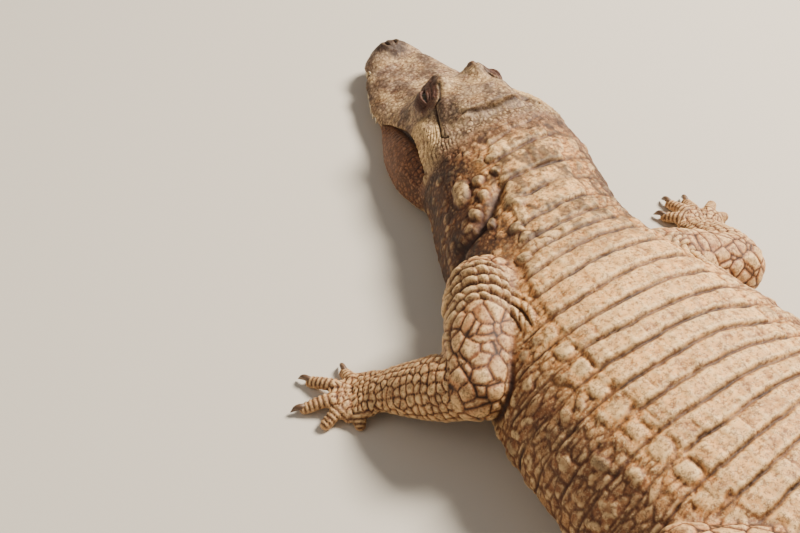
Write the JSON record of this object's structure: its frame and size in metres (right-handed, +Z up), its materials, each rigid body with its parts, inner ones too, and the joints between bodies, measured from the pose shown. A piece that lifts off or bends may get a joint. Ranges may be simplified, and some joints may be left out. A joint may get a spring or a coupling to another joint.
{
  "type": "mugger crocodile, still life-size model",
  "caption": "Adult crocodile lying at rest with its head low, one forelimb reaching out sideways and its tail in a lazy bend.",
  "frame": {"origin": "centre of the whole animal's footprint, on the floor it lies on", "axes": "+Z up, +Y the way the trunk faces (towards the head), +X to the animal's right"},
  "size_m": [0.769, 2.4012, 0.1912],
  "materials": {
    "skin": "dry, dusty scaly hide, tan to brown with dark grooves",
    "claw": "worn dark horn",
    "eye": "wet yellow-brown eye with a slit pupil"
  },
  "bodies": {
    "root": {"head": "skin", "lower_jaw": "skin", "eye_left": "eye", "eye_right": "eye", "neck": "skin", "trunk": "skin", "tail_base": "skin", "tail_front": "skin", "tail_rear": "skin", "tail_tip": "skin", "upper_arm_left": "skin", "forearm_left": "skin", "hand_left": "skin", "thigh_left": "skin", "shin_left": "skin", "foot_left": "skin", "hand_claw_left_1": "claw", "hand_claw_left_2": "claw", "hand_claw_left_3": "claw", "foot_claw_left_1": "claw", "foot_claw_left_2": "claw", "foot_claw_left_3": "claw", "upper_arm_right": "skin", "forearm_right": "skin", "hand_right": "skin", "thigh_right": "skin", "shin_right": "skin", "foot_right": "skin", "hand_claw_right_1": "claw", "hand_claw_right_2": "claw", "hand_claw_right_3": "claw", "foot_claw_right_1": "claw", "foot_claw_right_2": "claw", "foot_claw_right_3": "claw"}
  },
  "joints": []
}
